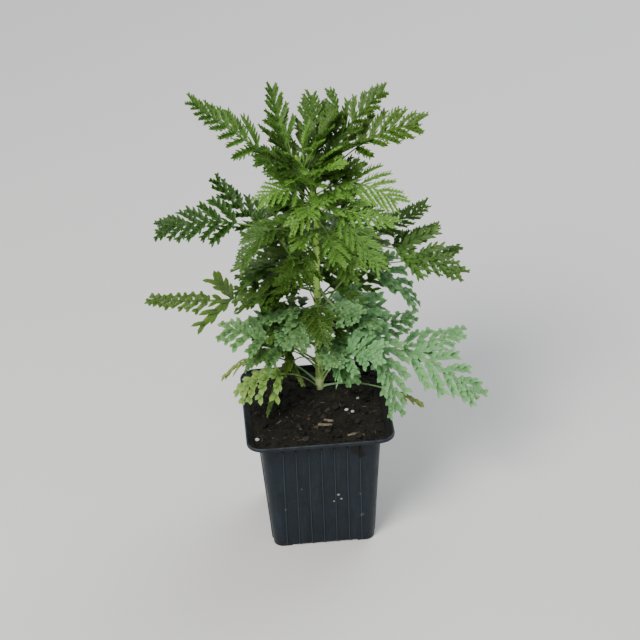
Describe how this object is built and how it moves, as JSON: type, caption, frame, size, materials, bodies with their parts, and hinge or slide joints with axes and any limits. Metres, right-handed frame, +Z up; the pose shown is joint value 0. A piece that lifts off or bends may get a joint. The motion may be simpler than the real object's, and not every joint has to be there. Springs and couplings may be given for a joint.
{
  "type": "potted herb seedling",
  "caption": "Young sweet wormwood plant with feathery divided leaves on one upright stem, growing in a square ribbed plastic nursery pot filled with dark potting soil.",
  "frame": {"origin": "middle of the pot's base, on the plane that the pot stands on", "axes": "+Z up along the pot's axis, -Y towards the front as pictured, +X to the right"},
  "size_m": [0.1984, 0.1212, 0.2903],
  "materials": {
    "pot_plastic": "moulded slate-black polypropylene, satin, lightly dusted",
    "soil": "moist dark peat potting soil with fibres, crumbs and a few pale grains",
    "stem": "smooth juicy green stem, paler near the soil",
    "leaf_fine": "matt mid-green leaf, finely divided",
    "leaf_young": "fresh yellow-green young leaf, finely divided",
    "leaf_broad": "bluish-green lower leaf with broader lobes and a soft bloom",
    "leaf_old": "yellowing old leaf",
    "perlite": "rough white grain",
    "bark": "dry fibrous chip"
  },
  "bodies": {
    "root": {"pot": "pot_plastic", "soil": "soil", "stem": "stem", "leaf_top_left": "leaf_fine", "leaf_top_back": "leaf_fine", "leaf_top_middle": "leaf_fine", "leaf_top_centre": "leaf_fine", "leaf_top_right_inner": "leaf_fine", "leaf_top_right_back": "leaf_fine", "leaf_top_right": "leaf_fine", "leaf_tip_left": "leaf_young", "leaf_tip_right": "leaf_young", "leaf_tip_front": "leaf_young", "leaf_shoot_right": "leaf_young", "leaf_short_front": "leaf_young", "leaf_upper_left_short": "leaf_fine", "leaf_left_raised": "leaf_fine", "leaf_left": "leaf_fine", "leaf_left_hanging": "leaf_fine", "leaf_front_left_upper": "leaf_young", "leaf_front_middle": "leaf_young", "leaf_right_upper": "leaf_young", "leaf_right_middle": "leaf_young", "leaf_right_drooping": "leaf_young", "leaf_right_back": "leaf_fine", "leaf_right_raised": "leaf_fine", "leaf_right": "leaf_fine", "leaf_far_right_back": "leaf_fine", "leaf_back_left": "leaf_fine", "leaf_back_left_inner": "leaf_fine", "leaf_front_left_long": "leaf_fine", "leaf_lower_left": "leaf_broad", "leaf_front_low": "leaf_broad", "leaf_front_right_low": "leaf_broad", "leaf_front_left_low": "leaf_broad", "leaf_right_arching": "leaf_broad", "leaf_right_low_back": "leaf_broad", "leaf_lower_right_raised": "leaf_broad", "leaf_lower_right": "leaf_broad", "leaf_lower_right_hanging": "leaf_broad", "leaf_lower_front": "leaf_broad", "leaf_middle_right": "leaf_broad", "leaf_low_left_front": "leaf_broad", "leaf_low_left_dark": "leaf_broad", "leaf_old_left": "leaf_old", "leaf_old_right": "leaf_old", "leaf_back_upper": "leaf_fine", "leaf_back_middle": "leaf_fine", "leaf_back_low": "leaf_broad", "leaf_back_left_low": "leaf_broad", "perlite_left": "perlite", "perlite_right": "perlite", "perlite_front": "perlite", "perlite_back": "perlite", "bark_chip_front": "bark", "bark_chip_middle": "bark", "bark_chip_right": "bark"}
  },
  "joints": []
}
